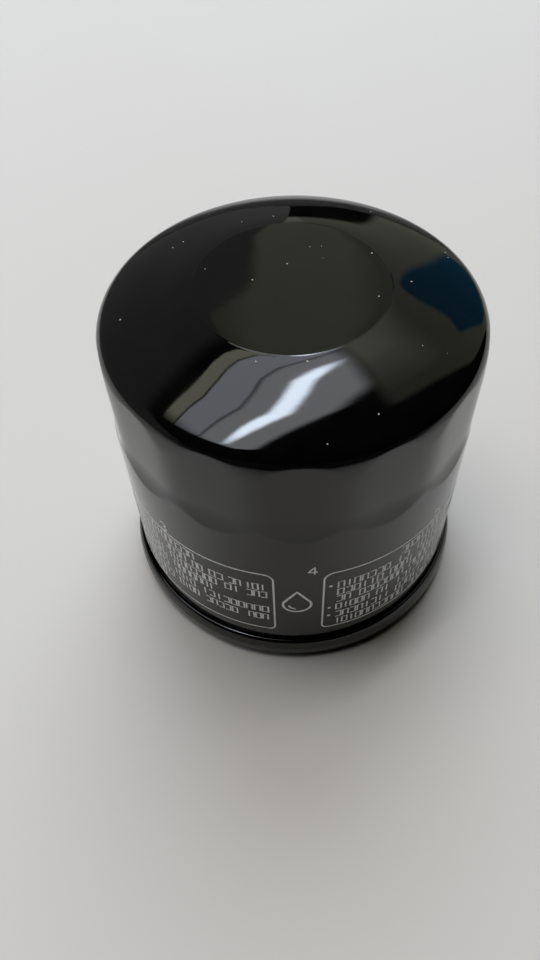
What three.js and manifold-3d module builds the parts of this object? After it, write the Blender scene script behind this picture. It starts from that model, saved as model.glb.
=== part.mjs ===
// Spin-on oil filter for a small engine, as a deep-drawn can with its whole inside:
// thread plate, seaming lid, gasket, drainback valve, pleated element, bypass valve and springs.
// Millimetres, +Z up. The origin is the centre of the gasket's sealing face, which is also
// the face the filter stands on; the dome is at the top.
import * as THREE from 'three';
import Module from 'manifold-3d';
import { mergeVertices } from 'three/addons/utils/BufferGeometryUtils.js';

const wasm = await Module();
wasm.setup();

// ---------------------------------------------------------------- driving dimensions (mm)
const GAP = 0.3;              // clearance kept between neighbouring pieces
const SHEET = 0.5;            // gauge of the pressed steel sheets inside

// can
const HEIGHT = 65.7;          // sealing face to the top of the dome's centre disc
const CAN_R = 32.5;           // outside radius of the can
const WALL = 0.6;             // can wall with its enamel
const FLATS = 14;             // wrench flats
const FLAT_APOTHEM = 31.93;
const CORNER_R = 32.36;       // the soft corners between the flats
const FLAT_RUNOUT_LOW = 40.2; // the flats ramp out of the round can from here
const FLAT_FULL_LOW = 45.4;   // ... and are at full depth from here up
const DISC_R = 16.1;          // flat centre disc of the dome
const GROOVE = 0.08;          // depth of the fine groove round the disc
const RING_SLOPE = 10.6;      // the crown's slope just outside the disc, in degrees
// From the ring outwards the crown and shoulder bend evenly, stretch by stretch, to these slopes.
const DOME = [
  { r: 20, slope: 15.9, steps: 1 },
  { r: 25, slope: 17, steps: 1 },
  { r: 30.35, slope: 24, steps: 2 },
  { r: 32.11, slope: 83, steps: 4 },
  { r: CAN_R, slope: 90, steps: 2 },
];

// rolled seam at the foot of the can
const SEAM_R = 33.88;         // widest radius of the seam
const BEAD = 1.4;             // bend radius of its rolled edge
const RIM_Z = 1.2;            // underside of the rim: the gasket stands proud by this much
const SEAM_TOP = 6.0;         // where the seam's edge meets the can
const LID_GAUGE = 0.45;
const HOOK_R = 33.1;          // outer edge of the can's own flange inside the seam
const HOOK_Z = 3.3;

// gasket and its groove in the lid
const GASKET_IN = 26.7;
const GASKET_OUT = 30.8;
const GASKET_H = 4.1;
const GROOVE_Z = GASKET_H + GAP;              // groove floor
const LIP_IN = GASKET_IN - GAP - LID_GAUGE;   // inner lip that retains the gasket
const LIP_LOW = 2.3;

// thread plate
const PLATE_LOW = GROOVE_Z + LID_GAUGE + GAP;
const PLATE_FACE_R = 25.3;    // the middle of the plate is coined proud, into the lid's opening
const PLATE_FACE = PLATE_LOW - 0.15;
const PLATE_T = 2.4;
const PLATE_TOP = PLATE_LOW + PLATE_T;
const PLATE_R = 31.3;
const THREAD_MAJOR = 20;      // M20 x 1.5
const THREAD_PITCH = 1.5;
const THREAD_MINOR = THREAD_MAJOR - 1.0825 * THREAD_PITCH;
const HUB_R = 11.8;
const HUB_TOP = 14;
const INLETS = 8;
const INLET_R = 2.6;
const INLET_CIRCLE = 18.4;

// drainback valve and grommet, which slip over the plate's hub
const BORE_R = HUB_R + GAP;
const COLLAR_R = 15.4;        // outer edge of the valve's flat middle and of the grommet's foot
const VALVE_LIFT = 1;         // free lift of the drainback valve
const VALVE_T = 1;
const VALVE_R = 24.6;
const VALVE_LOW = PLATE_TOP + GAP;
const VALVE_MIDDLE = PLATE_TOP + 1;
const GROMMET_LOW = VALVE_MIDDLE + VALVE_T + VALVE_LIFT + GAP;
const GROMMET_TOP = 14.4;

// element
const CAP_LOW = 12.4;         // underside of the lower end cap
const CAP_HIGH = 51.6;        // top of the upper end cap
const CAP_R = 27.6;
const CAP_FLANGE = 3.2;
const POTTING_T = 1.2;
const TUBE_R = 13.9;          // outside of the centre tube
const TUBE_ROWS = 5;
const TUBE_HOLES = 6;         // holes in one row
const TUBE_HOLE_R = 2;
const PLEATS = 46;
const PLEAT_IN = 14.6;
const PLEAT_OUT = 26.8;
const PAPER = 0.45;
const FOLD = 0.22;            // half the free width inside one fold

// bypass valve, hung from the upper end cap inside the centre tube
const SEAT_BORE = 6.8;
const SEAT_FLANGE_R = 12;
const SEAT_EDGE_Z = 49.8;     // the neck's lower edge is the seat
const SEAL_BORE = 2.2;
const SEAL_R = 8.2;
const SEAL_T = 1.2;
const DISH_R = 8.7;
const DISH_T = 0.8;
const RIVET_R = 1.9;          // head that holds the seal on the dish
const STEM_R = 1.5;
const STEM_LOW = 35.4;
const CAGE_R = 9.9;
const CAGE_FLANGE_R = 12.7;
const CAGE_LOW = 36.9;
const GUIDE_LOW = CAGE_LOW - 1.6;
const WINDOW = 8.4;           // height of the cage's four windows
const BYPASS_WIRE = 1;
const BYPASS_COIL_R = 5.2;
const BYPASS_TURNS = 5;

// element spring between the upper end cap and the dome
const SPRING_SEAT_BORE = 12.6;
const SPRING_SEAT_H = 2.2;
const SPRING_WIRE = 1.6;
const SPRING_LOW_R = 14.4;
const SPRING_TOP_R = 10;
const SPRING_TURNS = 3.5;

// facets round each kind of turned piece
const CAN_FACETS = FLATS * 4;
const RING_FACETS = 32;
const SMALL_FACETS = 24;

// ---------------------------------------------------------------- materials
function finish(color, roughness, metalness) {
  return new THREE.MeshStandardMaterial({ color, roughness, metalness });
}

const enamel = () => finish(0x0d0e0e, 0.12, 0.3);
const zinc = () => finish(0xb4b6b2, 0.35, 1);
const steel = () => finish(0x8c8f90, 0.3, 1);
const nitrile = () => finish(0x17181a, 0.7, 0);
const silicone = () => finish(0x9a4a22, 0.6, 0);
const adhesive = () => finish(0x5f6a4c, 0.55, 0);
const paper = () => finish(0xc9a765, 0.9, 0);

// ---------------------------------------------------------------- helpers
const group = new THREE.Group();

function add(name, geometry, material) {
  const mesh = new THREE.Mesh(geometry, material);
  mesh.name = name;
  group.add(mesh);
}

// 0 at and below 0, 1 at and above 1, smooth between.
const ease = (value) => (1 - Math.cos(Math.PI * Math.min(1, Math.max(0, value)))) / 2;

// Turns [radius, height] points about Z. They run counter-clockwise (up the outside, down the
// inside); a loop that doesn't touch the axis is closed here.
function turned(points, facets) {
  const loop = points.map(([r, z]) => new THREE.Vector2(r, z));
  if (points[0][0] > 0) loop.push(loop[0].clone());
  const geometry = new THREE.LatheGeometry(loop, facets);
  geometry.rotateX(Math.PI / 2);
  return geometry;
}

// Points on an arc from one angle to another, ends included (radians, 0 = outward, 90 deg = up).
function arc(r, z, radius, from, to, steps) {
  const points = [];
  for (let i = 0; i <= steps; i++) {
    const a = from + (to - from) * i / steps;
    points.push([r + radius * Math.cos(a), z + radius * Math.sin(a)]);
  }
  return points;
}

// A closed mesh as a solid for cutting, with its shared vertices merged.
function solid(geometry) {
  const bare = geometry.clone();
  bare.deleteAttribute('normal');
  bare.deleteAttribute('uv');
  const merged = mergeVertices(bare, 1e-5);
  const index = merged.index.array;
  const kept = [];
  for (let i = 0; i < index.length; i += 3) {
    const [a, b, c] = [index[i], index[i + 1], index[i + 2]];
    if (a !== b && b !== c && c !== a) kept.push(a, b, c);
  }
  return new wasm.Manifold(new wasm.Mesh({
    numProp: 3,
    vertProperties: new Float32Array(merged.attributes.position.array),
    triVerts: new Uint32Array(kept),
  }));
}

function fromSolid(body) {
  const mesh = body.getMesh();
  const geometry = new THREE.BufferGeometry();
  geometry.setAttribute('position', new THREE.BufferAttribute(new Float32Array(mesh.vertProperties), 3));
  geometry.setIndex(new THREE.BufferAttribute(new Uint32Array(mesh.triVerts), 1));
  geometry.computeVertexNormals();
  return geometry;
}

function cut(geometry, tools) {
  return fromSolid(tools.reduce((body, tool) => body.subtract(solid(tool)), solid(geometry)));
}

// A round wire wound about Z. centre(t) gives [radius, height] of the wire's middle for t in 0..1.
class Winding extends THREE.Curve {
  constructor(turns, centre) {
    super();
    this.turns = turns;
    this.centre = centre;
  }

  getPoint(t, target = new THREE.Vector3()) {
    const [r, z] = this.centre(t);
    const a = t * this.turns * 2 * Math.PI;
    return target.set(r * Math.cos(a), r * Math.sin(a), z);
  }
}

function coil(turns, wire, centre, stepsPerTurn) {
  const section = new THREE.Shape();
  const sides = 6;
  for (let i = 0; i < sides; i++) {
    const a = 2 * Math.PI * i / sides;
    const [x, y] = [wire / 2 * Math.cos(a), wire / 2 * Math.sin(a)];
    if (i === 0) section.moveTo(x, y);
    else section.lineTo(x, y);
  }
  section.closePath();
  return new THREE.ExtrudeGeometry(section, {
    steps: Math.round(turns * stepsPerTurn),
    extrudePath: new Winding(turns, centre),
    bevelEnabled: false,
  });
}

// Wire height that lies flat for the closing turns at both ends and climbs between them.
function climb(t, turns, low, high, closed) {
  const free = (t * turns - closed) / (turns - 2 * closed);
  return low + (high - low) * Math.min(1, Math.max(0, free));
}

// ---------------------------------------------------------------- can
// The dome's meridian from the disc's edge out to the wall, as [radius, height, slope].
function meridian() {
  const rad = Math.PI / 180;
  const points = [[DISC_R, HEIGHT, RING_SLOPE * rad]];
  for (const { r, slope, steps } of DOME) {
    const [r0, z0, s0] = points[points.length - 1];
    const s1 = slope * rad;
    const bend = (r - r0) / (Math.sin(s1) - Math.sin(s0));
    for (let i = 1; i <= steps; i++) {
      const s = s0 + (s1 - s0) * i / steps;
      points.push([r0 + bend * (Math.sin(s) - Math.sin(s0)), z0 - bend * (Math.cos(s0) - Math.cos(s)), s]);
    }
  }
  return points;
}

function canister() {
  const dome = meridian();
  const inner = CAN_R - WALL;
  const ramp = [0, 0.27, 0.58, 1].map((t) => FLAT_RUNOUT_LOW + t * (FLAT_FULL_LOW - FLAT_RUNOUT_LOW));
  const outside = [
    [HOOK_R - 0.6, HOOK_Z], [HOOK_R, HOOK_Z], [HOOK_R, HOOK_Z + 0.5],
    [CAN_R + 0.2, HOOK_Z + 0.8], [CAN_R, HOOK_Z + 1.3],
    ...ramp.map((z) => [CAN_R, z]),
    ...dome.slice(1).reverse(),
    [DISC_R + 0.2, HEIGHT - GROOVE], [DISC_R - 0.2, HEIGHT], [0, HEIGHT],
  ];
  const everyOther = dome.filter((point, i) => i % 2 === 1);
  const inside = [
    [0, HEIGHT - WALL], [DISC_R - 0.4, HEIGHT - WALL],
    ...everyOther.map(([r, z, slope]) => [r - WALL * Math.sin(slope), z - WALL * Math.cos(slope)]),
    [inner, FLAT_FULL_LOW], [inner, FLAT_RUNOUT_LOW], [inner, HOOK_Z + 1], [inner + 0.2, HOOK_Z + 0.3],
  ];
  const loop = [...outside, ...inside];
  const profile = [...loop, loop[0]].map(([r, z]) => new THREE.Vector2(r, z));
  const geometry = new THREE.LatheGeometry(profile, CAN_FACETS).rotateX(Math.PI / 2);
  pressFlats(geometry, profile.length, outside.length);
  return geometry;
}

// The press pushes a ring of flat faces into the can. Each ramps out over the run-out below and ends
// above where the shoulder bends in behind it.
function pressFlats(geometry, pointsPerRow, outsideCount) {
  const position = geometry.attributes.position;
  const pitch = 2 * Math.PI / FLATS;
  for (let i = 0; i < position.count; i++) {
    const [x, y, z] = [position.getX(i), position.getY(i), position.getZ(i)];
    const r = Math.hypot(x, y);
    if (z < FLAT_RUNOUT_LOW || r === 0) continue;
    const depth = ease((z - FLAT_RUNOUT_LOW) / (FLAT_FULL_LOW - FLAT_RUNOUT_LOW));
    const face = CAN_R - (CAN_R - FLAT_APOTHEM) * depth;
    const corner = CAN_R - (CAN_R - CORNER_R) * depth;
    const angle = Math.atan2(x, -y);
    const off = angle - pitch * Math.round(angle / pitch);
    const wall = i % pointsPerRow % (pointsPerRow - 1) < outsideCount ? 0 : WALL;
    const moved = Math.min(r, corner - wall, face / Math.cos(off) - wall);
    position.setXY(i, x * moved / r, y * moved / r);
  }
}

// ---------------------------------------------------------------- foot of the filter
// One sheet: down the groove's outer wall, round the rolled bead and up to the can, back inside
// the seam, then across the groove's floor and down the lip that retains the gasket.
function seamingLid() {
  const wall = GASKET_OUT + GAP;
  const floor = GROOVE_Z + LID_GAUGE;
  const bendR = SEAM_R - BEAD;
  const bendZ = RIM_Z + BEAD;
  const down = -Math.PI / 2;
  return turned([
    [wall, GROOVE_Z], [wall, 2.2], [wall + 0.25, 1.5], [wall + 0.8, RIM_Z],
    ...arc(bendR, bendZ, BEAD, down, 0, 3),
    [SEAM_R - 0.12, 4.5], [SEAM_R - 0.32, 5.3], [SEAM_R - 0.7, 5.85], [CAN_R + 0.22, SEAM_TOP],
    [CAN_R + 0.2, 5.5], [HOOK_R, 5.25], [SEAM_R - LID_GAUGE - 0.08, 4.5],
    ...arc(bendR, bendZ, BEAD - LID_GAUGE, 0, down, 2),
    [wall + 1, RIM_Z + LID_GAUGE], [wall + 0.65, 1.85], [wall + LID_GAUGE, 2.3], [wall + LID_GAUGE, floor],
    [LIP_IN + 0.2, floor], [LIP_IN, GROOVE_Z + 0.25], [LIP_IN, LIP_LOW],
    [LIP_IN + LID_GAUGE, LIP_LOW], [LIP_IN + LID_GAUGE, GROOVE_Z],
  ], CAN_FACETS);
}

function seamSealant() {
  const [low, high] = [RIM_Z + LID_GAUGE + GAP, HOOK_Z - GAP];
  const inner = CAN_R - WALL;
  return turned([
    [inner, low], [CAN_R + 0.25, low + 0.05], [HOOK_R, low + 0.55], [HOOK_R, high], [inner, high],
  ], CAN_FACETS);
}

function sealingGasket() {
  const soft = 0.5;
  return turned([
    [GASKET_IN + soft, 0], [GASKET_OUT - soft, 0], [GASKET_OUT, soft], [GASKET_OUT, GASKET_H],
    [GASKET_IN, GASKET_H], [GASKET_IN, soft],
  ], CAN_FACETS);
}

// A solid screw that leaves an M20 x 1.5 thread when it is cut away: its rows follow the helix, so
// row j of the last column is row j + 4 of the first.
function threadTap(low, high, columns) {
  const tooth = [[0, THREAD_MINOR], [0.25, THREAD_MINOR], [0.5625, THREAD_MAJOR], [0.6875, THREAD_MAJOR]];
  const turns = Math.ceil((high - low) / THREAD_PITCH) + 2;
  const rows = turns * tooth.length;
  const stride = rows + 1;
  const positions = [];
  for (let i = 0; i < columns; i++) {
    const a = 2 * Math.PI * i / columns;
    for (let j = 0; j <= rows; j++) {
      const [share, diameter] = tooth[j % tooth.length];
      const z = low + THREAD_PITCH * (Math.floor(j / tooth.length) + share + i / columns - 1.5);
      positions.push(diameter / 2 * Math.cos(a), diameter / 2 * Math.sin(a), z);
    }
  }
  const foot = positions.length / 3;
  const head = foot + 1;
  positions.push(0, 0, low - 2 * THREAD_PITCH, 0, 0, low + THREAD_PITCH * turns);
  const index = [];
  for (let i = 0; i < columns; i++) {
    const shift = i === columns - 1 ? tooth.length : 0;
    const next = (i + 1) % columns;
    for (let j = 0; j + shift < rows; j++) {
      const [a, b] = [i * stride + j, next * stride + j + shift];
      index.push(a, b, b + 1, a, b + 1, a + 1);
    }
    index.push(foot, next * stride + shift, i * stride);
    index.push(head, i * stride + rows - shift, next * stride + rows);
  }
  for (let j = 0; j < tooth.length; j++) {
    const last = (columns - 1) * stride + rows - tooth.length + j;
    index.push(foot, j, j + 1, head, last + 1, last);
  }
  const geometry = new THREE.BufferGeometry();
  geometry.setAttribute('position', new THREE.Float32BufferAttribute(positions, 3));
  geometry.setIndex(index);
  return geometry;
}

function threadPlate() {
  const hubFillet = 0.8;
  const blank = turned([
    [0, PLATE_FACE], [PLATE_FACE_R, PLATE_FACE], [PLATE_FACE_R, PLATE_LOW],
    [PLATE_R - 0.4, PLATE_LOW], [PLATE_R, PLATE_LOW + 0.4], [PLATE_R, PLATE_TOP],
    [HUB_R + hubFillet, PLATE_TOP], [HUB_R, PLATE_TOP + hubFillet],
    [HUB_R, HUB_TOP - 0.5], [HUB_R - 0.5, HUB_TOP], [0, HUB_TOP],
  ], RING_FACETS);
  const leadIn = new THREE.CylinderGeometry(THREAD_MINOR / 2, THREAD_MAJOR / 2 + 0.6, 1.6, SMALL_FACETS);
  leadIn.rotateX(Math.PI / 2).translate(0, 0, PLATE_FACE + 0.4);
  const tools = [threadTap(PLATE_FACE, HUB_TOP, 20), leadIn];
  for (let k = 0; k < INLETS; k++) {
    const a = 2 * Math.PI * (k + 0.5) / INLETS;
    const drill = new THREE.CylinderGeometry(INLET_R, INLET_R, PLATE_T * 2, 12);
    drill.rotateX(Math.PI / 2);
    drill.translate(INLET_CIRCLE * Math.cos(a), INLET_CIRCLE * Math.sin(a), PLATE_LOW + PLATE_T / 2);
    tools.push(drill);
  }
  return cut(blank, tools);
}

// ---------------------------------------------------------------- drainback valve and grommet
function drainbackValve() {
  const top = VALVE_MIDDLE + VALVE_T;
  return turned([
    [BORE_R, VALVE_MIDDLE], [COLLAR_R - 0.2, VALVE_MIDDLE], [VALVE_R - 1.2, VALVE_LOW], [VALVE_R, VALVE_LOW],
    [VALVE_R, VALVE_LOW + 0.7], [VALVE_R - 1, VALVE_LOW + 0.9], [COLLAR_R, top], [BORE_R, top],
  ], RING_FACETS);
}

function elementGrommet() {
  const foot = COLLAR_R + 0.2;
  const neck = TUBE_R - SHEET - 0.4;
  const shelf = CAP_LOW - GAP;
  return turned([
    [BORE_R, GROMMET_LOW], [foot, GROMMET_LOW], [foot, shelf],
    [neck, shelf], [neck, GROMMET_TOP], [BORE_R, GROMMET_TOP],
  ], RING_FACETS);
}

// ---------------------------------------------------------------- filter element
// A pressed cap: a flat ring with its outer edge turned up (up = 1) or down (up = -1).
function endCap(bore, face, up) {
  const inner = face + up * SHEET;
  const edge = face + up * CAP_FLANGE;
  const bend = 0.5;
  const loop = [
    [bore, face], [CAP_R - bend, face], [CAP_R, face + up * bend], [CAP_R, edge], [CAP_R - SHEET, edge],
    [CAP_R - SHEET, inner], [bore, inner],
  ];
  return turned(up > 0 ? loop : loop.reverse(), RING_FACETS);
}

// A ring of rectangular section.
function ring(inner, outer, low, high) {
  return turned([[inner, low], [outer, low], [outer, high], [inner, high]], RING_FACETS);
}

function centreTube(low, high) {
  const tube = ring(TUBE_R - SHEET, TUBE_R, low, high);
  const tools = [];
  const spacing = (high - low) / (TUBE_ROWS + 0.6);
  for (let row = 0; row < TUBE_ROWS; row++) {
    for (let k = 0; k < TUBE_HOLES / 2; k++) {
      const drill = new THREE.CylinderGeometry(TUBE_HOLE_R, TUBE_HOLE_R, TUBE_R * 3, 8);
      drill.rotateZ(2 * Math.PI * (k + (row % 2) / 2) / TUBE_HOLES);
      drill.translate(0, 0, low + spacing * (row + 0.8));
      tools.push(drill);
    }
  }
  return cut(tube, tools);
}

// The paper zigzags between PLEAT_IN and PLEAT_OUT. One pleat is open: its two cut ends lie side by
// side under the clip.
function pleatedPaper(low, high) {
  const pitch = 2 * Math.PI / PLEATS;
  const at = (r, angle, along) => {
    const a = angle + along / r;
    return new THREE.Vector2(-r * Math.cos(a), -r * Math.sin(a));
  };
  const end = PLEAT_OUT - 0.9;
  const full = FOLD + PAPER;
  const outer = [at(end, 0, full)];
  const inner = [at(end, 0, FOLD)];
  for (let k = 0; k < PLEATS; k++) {
    const valley = (k + 0.5) * pitch;
    outer.push(at(PLEAT_IN + PAPER, valley, -FOLD), at(PLEAT_IN + PAPER, valley, FOLD));
    inner.push(at(PLEAT_IN, valley, -full), at(PLEAT_IN, valley, full));
    if (k === PLEATS - 1) break;
    const tip = (k + 1) * pitch;
    outer.push(at(PLEAT_OUT, tip, -full), at(PLEAT_OUT, tip, full));
    inner.push(at(PLEAT_OUT - PAPER, tip, -FOLD), at(PLEAT_OUT - PAPER, tip, FOLD));
  }
  outer.push(at(end, 0, -full));
  inner.push(at(end, 0, -FOLD));
  const strip = new THREE.Shape([...outer, ...inner.reverse()]);
  return new THREE.ExtrudeGeometry(strip, { depth: high - low, bevelEnabled: false }).translate(0, 0, low);
}

function pleatClip(low, high) {
  const half = 1.1;
  const thick = 0.35;
  const mouth = 3.8 - PLEAT_OUT;
  const back = 0.1 - PLEAT_OUT;
  const channel = new THREE.Shape([
    new THREE.Vector2(mouth, -half - thick), new THREE.Vector2(mouth, -half),
    new THREE.Vector2(back + thick, -half), new THREE.Vector2(back + thick, half),
    new THREE.Vector2(mouth, half), new THREE.Vector2(mouth, half + thick),
    new THREE.Vector2(back, half + thick), new THREE.Vector2(back, -half - thick),
  ]);
  return new THREE.ExtrudeGeometry(channel, { depth: high - low, bevelEnabled: false }).translate(0, 0, low);
}

// ---------------------------------------------------------------- bypass valve
const SEAL_TOP = SEAT_EDGE_Z - GAP;
const DISH_TOP = SEAL_TOP - SEAL_T - GAP;

function bypassSeat() {
  const low = CAP_HIGH + GAP;
  const neck = SEAT_BORE + SHEET;
  return turned([
    [SEAT_BORE, SEAT_EDGE_Z], [neck, SEAT_EDGE_Z], [neck, low], [SEAT_FLANGE_R, low],
    [SEAT_FLANGE_R, low + SHEET], [SEAT_BORE + 0.4, low + SHEET], [SEAT_BORE, low + 0.1],
  ], SMALL_FACETS);
}

function bypassSeal() {
  const low = SEAL_TOP - SEAL_T;
  return turned([[SEAL_BORE, low], [SEAL_R, low], [SEAL_R, SEAL_TOP], [SEAL_BORE, SEAL_TOP]], SMALL_FACETS);
}

// Steel dish with a riveted head through the seal and a stem that runs in the cage's guide.
function bypassPoppet() {
  const low = DISH_TOP - DISH_T;
  return turned([
    [0, STEM_LOW], [STEM_R - 0.4, STEM_LOW], [STEM_R, STEM_LOW + 0.5],
    [STEM_R, low - 0.6], [STEM_R + 1.2, low], [DISH_R, low], [DISH_R, DISH_TOP],
    [RIVET_R, DISH_TOP], [RIVET_R, SEAL_TOP + 0.4], [0, SEAL_TOP + 0.7],
  ], SMALL_FACETS);
}

function bypassCage() {
  const flangeTop = CAP_HIGH - SHEET - GAP;
  const guide = STEM_R + GAP;
  const corner = 0.6;
  const cup = turned([
    [guide, GUIDE_LOW], [guide + SHEET, GUIDE_LOW], [guide + SHEET, CAGE_LOW], [CAGE_R - corner, CAGE_LOW],
    [CAGE_R, CAGE_LOW + corner], [CAGE_R, flangeTop - SHEET], [CAGE_FLANGE_R, flangeTop - SHEET],
    [CAGE_FLANGE_R, flangeTop], [CAGE_R - SHEET, flangeTop],
    [CAGE_R - SHEET, CAGE_LOW + SHEET], [guide, CAGE_LOW + SHEET],
  ], SMALL_FACETS);
  const windows = [0, 1].map((k) => {
    const window = new THREE.BoxGeometry(9, CAGE_R * 3, WINDOW);
    return window.rotateZ(k * Math.PI / 2).translate(0, 0, CAGE_LOW + 2.2 + WINDOW / 2);
  });
  return cut(cup, windows);
}

function bypassSpring() {
  const low = CAGE_LOW + SHEET + GAP + BYPASS_WIRE / 2;
  const high = DISH_TOP - DISH_T - GAP - BYPASS_WIRE / 2;
  const centre = (t) => [BYPASS_COIL_R, climb(t, BYPASS_TURNS, low, high, 0.5)];
  return coil(BYPASS_TURNS, BYPASS_WIRE, centre, 14);
}

// ---------------------------------------------------------------- element spring and its seat
function springSeat() {
  const low = CAP_HIGH + GAP;
  const high = low + SPRING_SEAT_H;
  const edge = SPRING_LOW_R + 2;
  return turned([
    [SPRING_SEAT_BORE, low], [edge, low], [edge, high], [edge - SHEET, high],
    [edge - SHEET, low + SHEET], [SPRING_SEAT_BORE, low + SHEET],
  ], RING_FACETS);
}

function elementSpring() {
  const low = CAP_HIGH + GAP + SHEET + GAP + SPRING_WIRE / 2;
  const high = HEIGHT - WALL - GAP - SPRING_WIRE / 2;
  const centre = (t) => {
    const rise = climb(t, SPRING_TURNS, 0, 1, 0.6);
    return [SPRING_LOW_R + (SPRING_TOP_R - SPRING_LOW_R) * rise, low + (high - low) * rise];
  };
  return coil(SPRING_TURNS, SPRING_WIRE, centre, 18);
}

// ---------------------------------------------------------------- assembly
const POTTING_LOW = CAP_LOW + SHEET + GAP;
const POTTING_HIGH = CAP_HIGH - SHEET - GAP - POTTING_T;
const PAPER_LOW = POTTING_LOW + POTTING_T + GAP;
const PAPER_HIGH = POTTING_HIGH - GAP;

add('canister_shell', canister(), enamel());
add('seaming_lid', seamingLid(), enamel());
add('seam_sealant', seamSealant(), nitrile());
add('sealing_gasket', sealingGasket(), nitrile());
add('thread_plate', threadPlate(), zinc());
add('drainback_valve', drainbackValve(), silicone());
add('element_grommet', elementGrommet(), nitrile());
add('lower_end_cap', endCap(TUBE_R - SHEET - 0.1, CAP_LOW, 1), zinc());
add('lower_potting', ring(TUBE_R + GAP, PLEAT_OUT, POTTING_LOW, POTTING_LOW + POTTING_T), adhesive());
add('pleated_paper', pleatedPaper(PAPER_LOW, PAPER_HIGH), paper());
add('pleat_clip', pleatClip(PAPER_LOW, PAPER_HIGH), steel());
add('centre_tube', centreTube(POTTING_LOW, CAP_HIGH - SHEET - GAP), zinc());
add('upper_potting', ring(TUBE_R + GAP, PLEAT_OUT, POTTING_HIGH, POTTING_HIGH + POTTING_T), adhesive());
add('upper_end_cap', endCap(SEAT_BORE + SHEET + 0.5, CAP_HIGH, -1), zinc());
add('bypass_seat', bypassSeat(), zinc());
add('bypass_seal', bypassSeal(), nitrile());
add('bypass_poppet', bypassPoppet(), steel());
add('bypass_spring', bypassSpring(), steel());
add('bypass_cage', bypassCage(), zinc());
add('spring_seat', springSeat(), zinc());
add('element_spring', elementSpring(), steel());

export default group;
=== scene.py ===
"""Spin-on oil filter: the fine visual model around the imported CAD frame.

Outlines are in millimetres and are scaled once, where a mesh is made. +Z is up, the origin is the
centre of the gasket's sealing face, and an azimuth is counted from -Y towards +X, in degrees.
"""
import math

import bpy
from mathutils import Matrix, Vector


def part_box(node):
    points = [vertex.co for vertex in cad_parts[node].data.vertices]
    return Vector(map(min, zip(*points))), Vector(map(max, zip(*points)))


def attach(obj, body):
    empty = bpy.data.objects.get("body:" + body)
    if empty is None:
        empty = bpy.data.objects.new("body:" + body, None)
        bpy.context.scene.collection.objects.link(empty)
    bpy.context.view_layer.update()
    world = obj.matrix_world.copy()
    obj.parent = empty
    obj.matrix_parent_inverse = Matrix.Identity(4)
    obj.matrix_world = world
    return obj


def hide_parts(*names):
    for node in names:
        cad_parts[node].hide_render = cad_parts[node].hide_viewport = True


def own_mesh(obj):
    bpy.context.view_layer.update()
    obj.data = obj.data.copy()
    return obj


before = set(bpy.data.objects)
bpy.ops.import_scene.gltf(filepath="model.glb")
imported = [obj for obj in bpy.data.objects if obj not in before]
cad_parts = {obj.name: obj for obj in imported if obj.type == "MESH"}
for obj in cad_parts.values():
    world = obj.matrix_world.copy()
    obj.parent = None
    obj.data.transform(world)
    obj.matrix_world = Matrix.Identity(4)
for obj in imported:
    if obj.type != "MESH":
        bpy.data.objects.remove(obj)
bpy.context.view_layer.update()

MM = 0.001


def lowest(node):
    """A node's lowest height, in millimetres."""
    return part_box(node)[0].z / MM


def highest(node):
    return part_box(node)[1].z / MM


def widest(node):
    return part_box(node)[1].x / MM


# ------------------------------------------------------------------ sizes (mm)
HEIGHT = highest("canister_shell")
CAN_R = 32.5
WALL = 0.6
HOOK_R = widest("canister_shell")
HOOK_Z = lowest("canister_shell")
FLATS = 14
FLAT_APOTHEM = 31.93
CORNER_SHARPNESS = 57       # high is sharp: this leaves the corners 0.14 mm inside the round can
RUNOUT_LOW, RUNOUT_STEEPEST, RUNOUT_HIGH = 40.3, 41.2, 46
SHOULDER_START_R = 30.35
SHOULDER_R = 3.0            # bend radius of the shoulder, down to the slope SHOULDER_TURN
SHOULDER_TURN = 83          # from there the wall leans in only slowly
# How steep the dome is at each radius, in degrees: flat disc, fine pressed step, then the crown.
DOME_SLOPES = [
    (0, 0), (15.75, 0), (15.85, 17), (15.97, 17), (16.1, 8), (16.35, 10.8), (17, 12), (18, 14),
    (20, 15.7), (22.5, 16.2), (25, 17), (27.5, 20.4), (SHOULDER_START_R, 24),
]

SEAM_R = widest("seaming_lid")
RIM_Z = lowest("seaming_lid")
SEAM_TOP = highest("seaming_lid")
LID_GAUGE = 0.45

GASKET_OUT = widest("sealing_gasket")
GASKET_H = highest("sealing_gasket")
GASKET_IN = 26.7

PLATE_R = widest("thread_plate")
PLATE_FACE = lowest("thread_plate")
PLATE_LOW = PLATE_FACE + 0.15
PLATE_TOP = PLATE_LOW + 2.4
HUB_TOP = highest("thread_plate")
HUB_R = 11.8
THREAD_MAJOR, THREAD_MINOR, THREAD_PITCH = 20, 18.38, 1.5
INLETS, INLET_R, INLET_CIRCLE_R = 8, 2.6, 18.4

SHEET = 0.5
BORE_R = 12.1
TUBE_R = widest("centre_tube")
CAP_R = widest("lower_end_cap")
PLEATS = 46
PLEAT_IN, PLEAT_OUT, PAPER, FOLD = 14.6, 26.8, 0.45, 0.22

# ------------------------------------------------------------------ view (degrees, metres, lens in mm)
CAMERA_AZIMUTH, CAMERA_ELEVATION, CAMERA_DISTANCE = -2.4, 51.12, 0.155795
CAMERA_PAN, CAMERA_TILT, CAMERA_ROLL, CAMERA_LENS = 1.658, -2.456, -0.417, 29.277


# ------------------------------------------------------------------ mesh helpers
def mesh_object(name, points, faces, sharp=35):
    """A smooth-shaded object from points in millimetres; edges past the sharp angle stay hard."""
    mesh = bpy.data.meshes.new(name)
    mesh.from_pydata([(x * MM, y * MM, z * MM) for x, y, z in points], [], faces)
    mesh.validate()
    mesh.shade_smooth()
    mesh.set_sharp_from_angle(angle=math.radians(sharp))
    made = bpy.data.objects.new(name, mesh)
    bpy.context.scene.collection.objects.link(made)
    return made


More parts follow.
